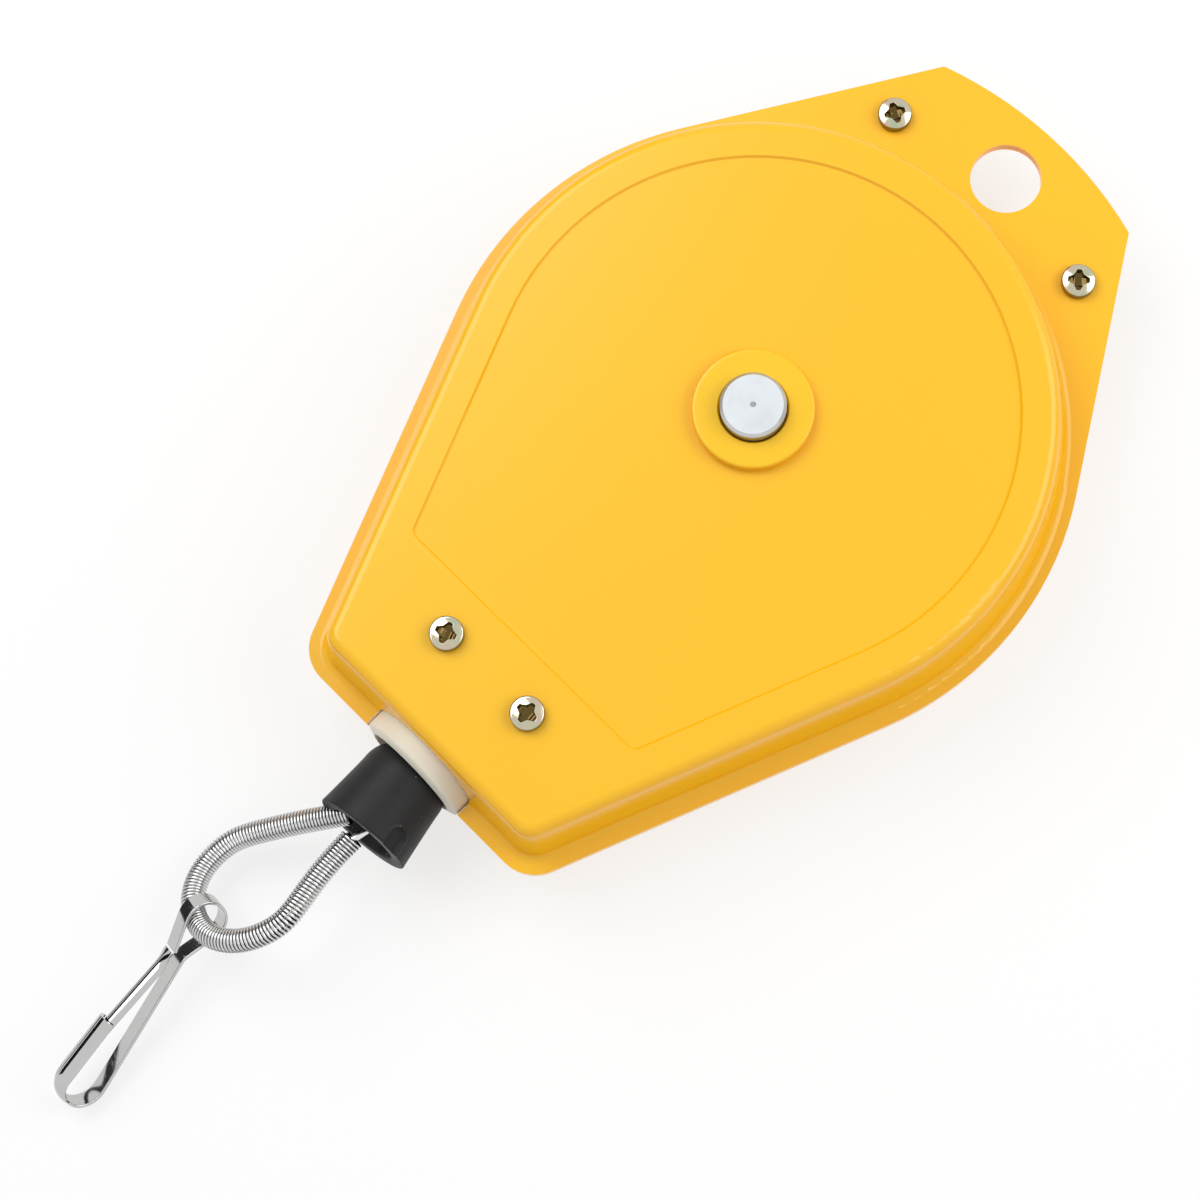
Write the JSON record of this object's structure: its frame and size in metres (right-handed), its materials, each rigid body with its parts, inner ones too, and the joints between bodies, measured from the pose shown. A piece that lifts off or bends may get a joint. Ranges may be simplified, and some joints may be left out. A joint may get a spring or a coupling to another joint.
{
  "type": "spring tool balancer",
  "caption": "Spring tool balancer: two drawn shells hold a spring drum whose wire rope leaves through a guide to a rubber stop, a rope eye and a snap hook.",
  "frame": {"origin": "middle of the hanger hole, on the seam plane between the two flanges", "axes": "+Y from the rope guide towards the hanger, +Z out of the front face, +X to the right seen from the front; the part lies on its back face"},
  "size_m": [0.154, 0.3271, 0.0448],
  "materials": {
    "shell_paint": "satin yellow enamel on drawn sheet steel",
    "collar_paint": "satin yellow enamel",
    "screw_zinc": "yellow-passivated zinc plate",
    "bright_steel": "turned, zinc plated",
    "hard_steel": "hardened, oiled",
    "spring_steel": "blued strip",
    "wire_steel": "bright stranded wire",
    "sleeve_steel": "bright close-wound wire",
    "hook_steel": "nickel plate, polished",
    "cast_aluminium": "die cast and turned",
    "crimp_aluminium": "pressed",
    "bush_bronze": "sintered bronze",
    "guide_nylon": "moulded ivory nylon",
    "bumper_rubber": "matt moulded black rubber"
  },
  "bodies": {
    "housing": {"front_shell": "shell_paint", "back_shell": "shell_paint", "tab_screws": "screw_zinc", "tab_washers": "screw_zinc", "tab_nuts": "screw_zinc", "body_screws": "screw_zinc", "standoffs": "bright_steel", "rope_guide": "guide_nylon", "front_bush": "collar_paint", "back_bush": "bush_bronze", "front_bush_ring": "spring_steel", "back_bush_ring": "spring_steel", "pawl_pin": "bright_steel", "pawl_spring": "spring_steel", "rope_run": "wire_steel"},
    "tension_shaft": {"tension_shaft": "bright_steel", "ratchet_wheel": "hard_steel", "shaft_clip": "spring_steel"},
    "pawl": {"pawl": "hard_steel"},
    "drum": {"rope_drum": "cast_aluminium", "drum_cover": "bright_steel", "cover_screws": "screw_zinc", "drum_bush": "bush_bronze", "cover_bush": "bush_bronze", "power_spring": "spring_steel", "rope_turns": "wire_steel", "rope_anchor": "crimp_aluminium"},
    "rope_end": {"bumper": "bumper_rubber", "rope_crimp": "crimp_aluminium", "rope_eye": "wire_steel", "eye_sleeve": "sleeve_steel"},
    "hook": {"snap_hook": "hook_steel"},
    "gate": {"hook_gate": "hook_steel"}
  },
  "joints": [
    {"name": "drum_spin", "type": "hinge", "parent": "housing", "child": "drum", "pos_m": [0, -0.086, 0], "axis": [0, 0, -1], "range_deg": [0, 1527.8], "stiffness_Nm_per_rad": 0.008, "springref_deg": -1718.87, "deforming": ["power_spring"]},
    {"name": "rope_pull", "type": "slide", "parent": "housing", "child": "rope_end", "axis": [0, -1, 0], "range_m": [0, 1.2], "deforming": ["rope_run"]},
    {"name": "tension_adjust", "type": "hinge", "parent": "housing", "child": "tension_shaft", "pos_m": [0, -0.086, 0], "axis": [0, 0, 1], "range_deg": [0, 720], "deforming": ["power_spring"]},
    {"name": "pawl_release", "type": "hinge", "parent": "housing", "child": "pawl", "pos_m": [-0.0195, -0.105, -0.012], "axis": [0, 0, -1], "range_deg": [0, 14], "stiffness_Nm_per_rad": 0.01, "springref_deg": -22.92, "deforming": ["pawl_spring"]},
    {"name": "hook_swing", "type": "hinge", "parent": "rope_end", "child": "hook", "pos_m": [-0.01173, -0.2595, -0.0074], "axis": [0.8124, -0.3128, 0.492], "range_deg": [-90, 90]},
    {"name": "gate_open", "type": "hinge", "parent": "hook", "child": "gate", "pos_m": [-0.01131, -0.2693, -0.00774], "axis": [0.721, 0.0071, 0.6929], "range_deg": [0, 9], "stiffness_Nm_per_rad": 0.005, "springref_deg": -5.73}
  ],
  "couplings": [
    {"joint": "rope_pull", "follows": "drum_spin", "m_per_rad": 0.045}
  ]
}
